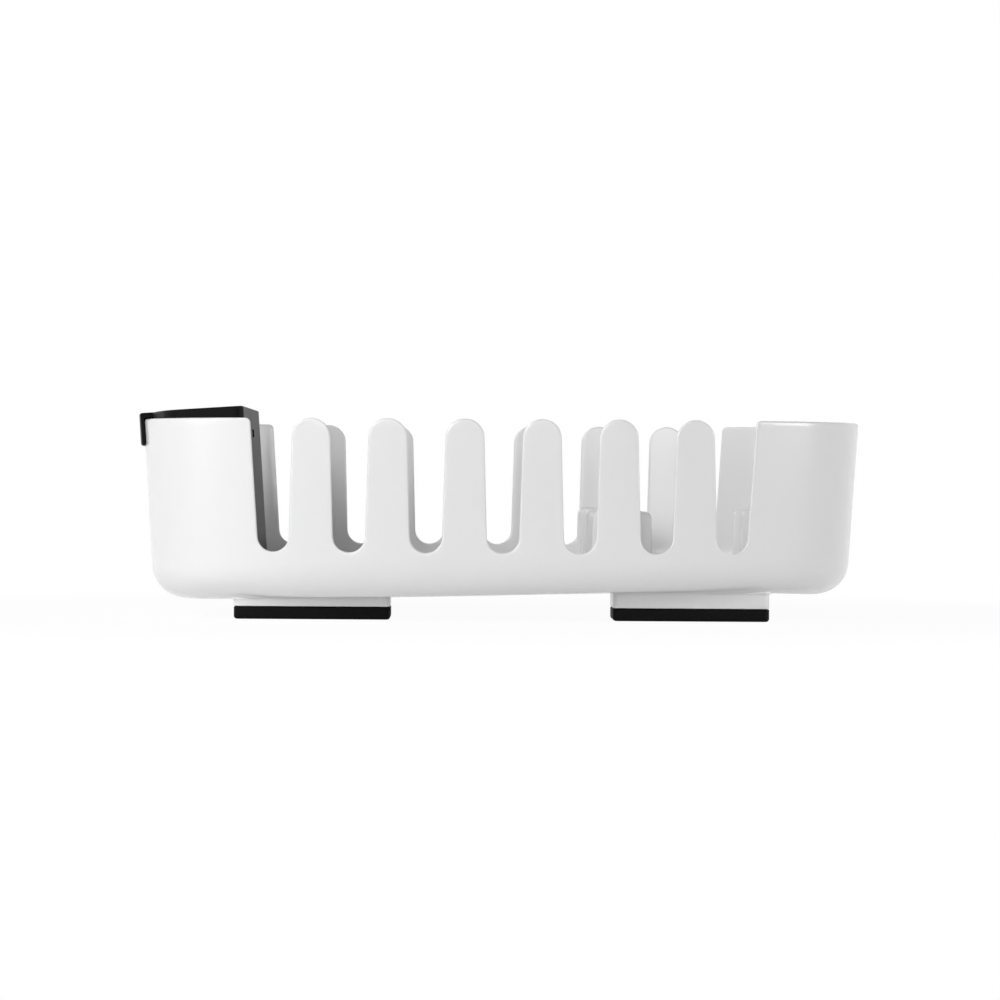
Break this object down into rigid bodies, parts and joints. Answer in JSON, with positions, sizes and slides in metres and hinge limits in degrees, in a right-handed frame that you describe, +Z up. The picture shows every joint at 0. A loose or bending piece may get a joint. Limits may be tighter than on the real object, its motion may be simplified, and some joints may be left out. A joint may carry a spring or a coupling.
{
  "type": "dish rack with cutlery drainer",
  "caption": "Low self-draining dish rack with comb-cut side walls, floor uprights and soft feet, and a divided cutlery drainer hooked over its low end.",
  "frame": {"origin": "on the table, under the middle of the rack's overall length and width", "axes": "+X along the rack's length, away from the cutlery drainer; +Y from the side that the picture shows to the far side; +Z up"},
  "size_m": [0.3815, 0.3238, 0.1093],
  "materials": {
    "white_plastic": "polished moulded white plastic",
    "charcoal_plastic": "polished moulded charcoal plastic",
    "divider_plastic": "satin charcoal plastic",
    "pad_rubber": "matt black soft rubber"
  },
  "bodies": {
    "rack": {"tray": "white_plastic", "foot_pad_front_left": "pad_rubber", "foot_pad_front_right": "pad_rubber", "foot_pad_rear_left": "pad_rubber", "foot_pad_rear_right": "pad_rubber"},
    "drainer": {"cutlery_drainer": "charcoal_plastic", "drainer_divider": "divider_plastic"}
  },
  "joints": [
    {"name": "drainer_lift", "type": "slide", "parent": "rack", "child": "drainer", "axis": [-0.0663, 0, 0.9978], "range_m": [0, 0.12]}
  ]
}
